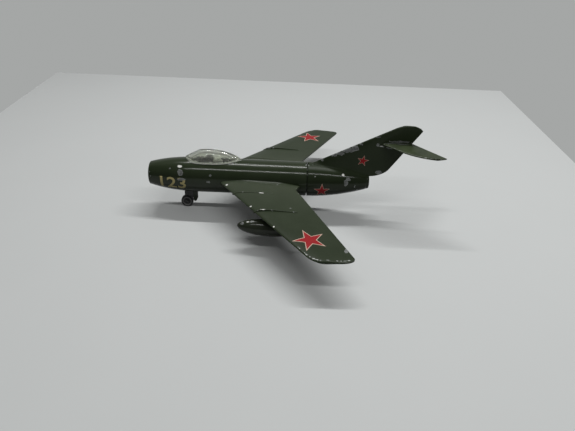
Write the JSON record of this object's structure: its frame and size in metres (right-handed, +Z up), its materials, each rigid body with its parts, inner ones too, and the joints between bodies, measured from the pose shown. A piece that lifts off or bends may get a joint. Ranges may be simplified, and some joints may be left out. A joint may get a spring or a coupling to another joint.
{
  "type": "toy airplane",
  "caption": "Die-cast toy jet with swept wings, a tall fin with a crossing tailplane, a clear canopy, drop tanks and a landing gear that rolls on free wheels.",
  "frame": {"origin": "on the ground under the middle of the length and span", "axes": "+X aft along the body, -Y to the left wing, +Z up from the ground"},
  "size_m": [0.1066, 0.1022, 0.0368],
  "materials": {
    "green_enamel": "semi-gloss dark green enamel, chipped to bare zinc at the edges",
    "green_plastic": "semi-gloss dark green",
    "clear_plastic": "thick clear moulding, slightly scuffed",
    "dark_plastic": "matt black-green",
    "pale_plastic": "matt pale grey",
    "grey_plastic": "satin dark grey",
    "black_tyre": "matt black",
    "bare_zinc": "dull bare casting metal",
    "bare_steel": "plain wire"
  },
  "bodies": {
    "airframe": {"forward_casting": "green_enamel", "tail_casting": "green_enamel", "tailplane": "green_enamel", "nose_door": "green_enamel", "drop_tank_left": "green_plastic", "drop_tank_right": "green_plastic", "canopy": "clear_plastic", "cockpit_tub": "dark_plastic", "pilot_seat": "pale_plastic", "nose_leg": "dark_plastic", "main_leg_left": "dark_plastic", "main_leg_right": "dark_plastic", "belly_plate": "bare_zinc", "belly_rivet_front": "bare_zinc", "belly_rivet_rear": "bare_zinc", "tail_rivet": "bare_zinc", "nose_axle": "bare_steel", "main_axle_left": "bare_steel", "main_axle_right": "bare_steel"},
    "nose_wheel": {"nose_hub": "grey_plastic", "nose_tyre": "black_tyre"},
    "main_wheel_left": {"main_hub_left": "grey_plastic", "main_tyre_left": "black_tyre"},
    "main_wheel_right": {"main_hub_right": "grey_plastic", "main_tyre_right": "black_tyre"}
  },
  "joints": [
    {"name": "nose_wheel_roll", "type": "hinge", "parent": "airframe", "child": "nose_wheel", "pos_m": [-0.04016, 0, 0.00233], "axis": [0, 1, 0], "continuous": true},
    {"name": "main_wheel_left_roll", "type": "hinge", "parent": "airframe", "child": "main_wheel_left", "pos_m": [-0.00091, -0.0138, 0.00317], "axis": [0, 1, 0], "continuous": true},
    {"name": "main_wheel_right_roll", "type": "hinge", "parent": "airframe", "child": "main_wheel_right", "pos_m": [-0.00091, 0.0138, 0.00317], "axis": [0, 1, 0], "continuous": true}
  ]
}
